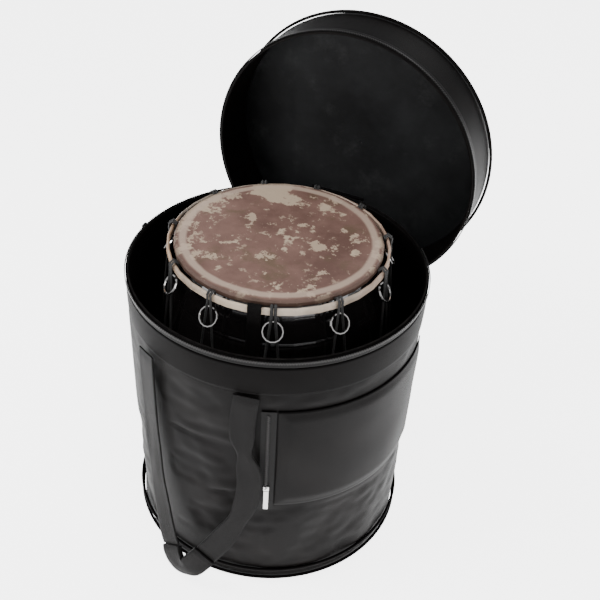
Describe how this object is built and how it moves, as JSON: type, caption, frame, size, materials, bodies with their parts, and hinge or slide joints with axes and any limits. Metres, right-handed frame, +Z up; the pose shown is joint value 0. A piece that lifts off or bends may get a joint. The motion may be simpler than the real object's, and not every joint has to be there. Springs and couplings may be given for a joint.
{
  "type": "dhol drum in carry bag",
  "caption": "Double-headed barrel drum with cane hoops, rope lacing and tuning rings, standing in a padded round carry bag with its lid open.",
  "frame": {"origin": "centre of the bag's flat underside", "axes": "+Z up through the drum, lid hinge at +Y, carry strap at -Y"},
  "size_m": [0.4966, 0.6366, 0.812],
  "materials": {
    "black_lacquer": "gloss black lacquer over wood",
    "goat_skin": "worn natural hide",
    "cane": "split cane, bare and stained",
    "black_rope": "twisted cord",
    "chrome": "polished",
    "zip_metal": "plated",
    "black_metal": "satin black",
    "zip_tape": "woven tape and piping",
    "webbing": "woven webbing",
    "nylon_cloth": "padded nylon"
  },
  "bodies": {
    "bag": {"bag_wall": "nylon_cloth", "bag_base": "nylon_cloth", "base_piping_lower": "zip_tape", "base_piping_upper": "zip_tape", "rim_piping": "zip_tape", "collar_band": "nylon_cloth", "rim_zip_tape": "zip_tape", "pocket_panel": "nylon_cloth", "pocket_zip_tape": "zip_tape", "bag_strap_right": "webbing", "strap_grip_wrap": "nylon_cloth", "bag_strap_left": "webbing"},
    "lid_hinge_line": {"lid_hinge_piping": "zip_tape"},
    "lid": {"lid_skirt": "nylon_cloth", "lid_panel": "nylon_cloth", "lid_piping": "zip_tape", "lid_zip_tape": "zip_tape"},
    "drum": {"shell": "black_lacquer", "treble_skin": "goat_skin", "bass_skin": "goat_skin", "treble_cane_hoop": "cane", "bass_cane_hoop": "cane", "rope_lacing": "black_rope", "drum_carry_strap": "webbing"},
    "ring_01": {"tuning_ring_01": "chrome"},
    "ring_02": {"tuning_ring_02": "chrome"},
    "ring_03": {"tuning_ring_03": "chrome"},
    "ring_04": {"tuning_ring_04": "chrome"},
    "ring_05": {"tuning_ring_05": "chrome"},
    "ring_06": {"tuning_ring_06": "chrome"},
    "ring_07": {"tuning_ring_07": "chrome"},
    "ring_08": {"tuning_ring_08": "chrome"},
    "ring_09": {"tuning_ring_09": "chrome"},
    "ring_10": {"tuning_ring_10": "chrome"},
    "ring_11": {"tuning_ring_11": "chrome"},
    "pocket_slider": {"pocket_slider": "zip_metal"},
    "pocket_pull": {"pocket_pull": "zip_metal"},
    "main_slider": {"main_zip_slider": "black_metal", "main_zip_pull": "black_metal"}
  },
  "joints": [
    {"name": "lid_hinge", "type": "hinge", "parent": "bag", "child": "lid_hinge_line", "pos_m": [0, 0.2475, 0.51], "axis": [-1, 0, 0], "range_deg": [-90, 0]},
    {"name": "lid_drop", "type": "slide", "parent": "lid_hinge_line", "child": "lid", "axis": [0, 0, 1], "range_m": [0, 0.193]},
    {"name": "drum_lift", "type": "slide", "parent": "bag", "child": "drum", "axis": [0, 0, 1], "range_m": [0, 0.6]},
    {"name": "ring_01_slide", "type": "slide", "parent": "drum", "child": "ring_01", "axis": [-0.0798, -0.0172, -0.9967], "range_m": [0, 0.022]},
    {"name": "ring_02_slide", "type": "slide", "parent": "drum", "child": "ring_02", "axis": [-0.0531, -0.062, -0.9967], "range_m": [0, 0.022]},
    {"name": "ring_03_slide", "type": "slide", "parent": "drum", "child": "ring_03", "axis": [-0.0132, -0.0805, -0.9967], "range_m": [0, 0.022]},
    {"name": "ring_04_slide", "type": "slide", "parent": "drum", "child": "ring_04", "axis": [0.0316, -0.0752, -0.9967], "range_m": [0, 0.022]},
    {"name": "ring_05_slide", "type": "slide", "parent": "drum", "child": "ring_05", "axis": [0.0672, -0.0462, -0.9967], "range_m": [0, 0.022]},
    {"name": "ring_06_slide", "type": "slide", "parent": "drum", "child": "ring_06", "axis": [0.0816, 0.0007, -0.9967], "range_m": [0, 0.022]},
    {"name": "ring_07_slide", "type": "slide", "parent": "drum", "child": "ring_07", "axis": [0.0696, 0.0425, -0.9967], "range_m": [0, 0.022]},
    {"name": "ring_08_slide", "type": "slide", "parent": "drum", "child": "ring_08", "axis": [0.0365, 0.073, -0.9967], "range_m": [0, 0.022]},
    {"name": "ring_09_slide", "type": "slide", "parent": "drum", "child": "ring_09", "axis": [-0.0053, 0.0814, -0.9967], "range_m": [0, 0.022]},
    {"name": "ring_10_slide", "type": "slide", "parent": "drum", "child": "ring_10", "axis": [-0.0456, 0.0676, -0.9967], "range_m": [0, 0.022]},
    {"name": "ring_11_slide", "type": "slide", "parent": "drum", "child": "ring_11", "axis": [-0.0735, 0.0354, -0.9967], "range_m": [0, 0.022]},
    {"name": "pocket_zip_slide", "type": "slide", "parent": "bag", "child": "pocket_slider", "axis": [0.0077, -0.018, 0.9998], "range_m": [0, 0.15]},
    {"name": "pocket_pull_swing", "type": "hinge", "parent": "pocket_slider", "child": "pocket_pull", "pos_m": [0.09569, -0.22326, 0.236], "axis": [-0.9191, -0.3939, 0], "range_deg": [0, 100]},
    {"name": "main_zip_slide", "type": "hinge", "parent": "bag", "child": "main_slider", "pos_m": [0, 0, 0.506], "axis": [0, 0, 1], "range_deg": [-38, 95]}
  ],
  "couplings": [
    {"joint": "lid_drop", "follows": "lid_hinge", "m_per_rad": -0.12255}
  ]
}
